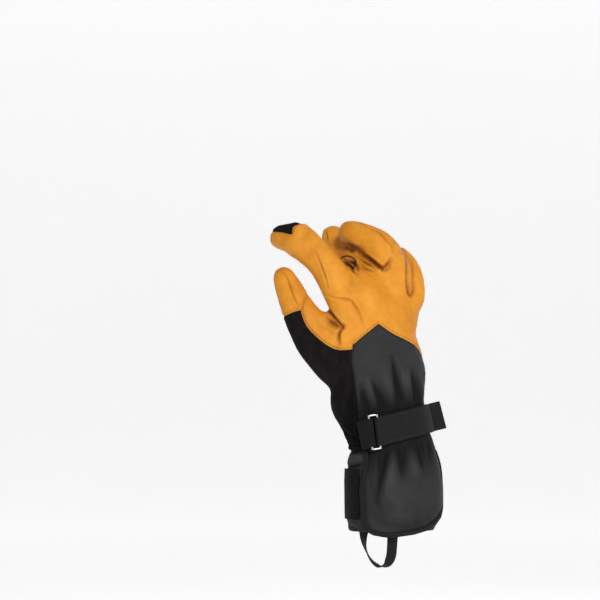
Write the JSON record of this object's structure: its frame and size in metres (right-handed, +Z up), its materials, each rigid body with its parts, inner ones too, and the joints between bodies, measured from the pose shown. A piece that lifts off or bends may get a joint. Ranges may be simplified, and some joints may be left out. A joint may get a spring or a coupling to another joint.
{
  "type": "mountaineering glove",
  "caption": "Right-hand mountaineering glove hanging by its finger loop: golden leather fingers, black suede thumb side and palm, black softshell gauntlet with wrist strap.",
  "frame": {"origin": "under the crown of the hanging loop on the back of the middle finger, where the glove is hooked up", "axes": "+Z up, from the cuff's hem to the fingers; +X toward the little finger's side; -Y the way the back of the hand faces"},
  "size_m": [0.1642, 0.1027, 0.3179],
  "materials": {
    "golden_leather": "smooth full-grain leather, slightly waxed",
    "black_suede": "brownish black suede",
    "softshell": "fine woven softshell",
    "black_webbing": "ribbed woven webbing",
    "hook_pile": "hook-and-loop pile",
    "steel_wire": "bright bent wire"
  },
  "bodies": {
    "root": {"hand_leather": "golden_leather", "thumb_leather": "golden_leather", "thumb_back_panel": "golden_leather", "index_tip_patch": "black_suede", "palm_suede": "black_suede", "softshell_back": "softshell", "edge_binding": "black_webbing", "cuff_gusset": "softshell", "gusset_patch": "hook_pile", "wrist_strap": "black_webbing", "strap_ring": "steel_wire", "ring_tab": "black_webbing", "hanging_loop": "black_webbing", "pull_loop": "black_webbing"}
  },
  "joints": []
}
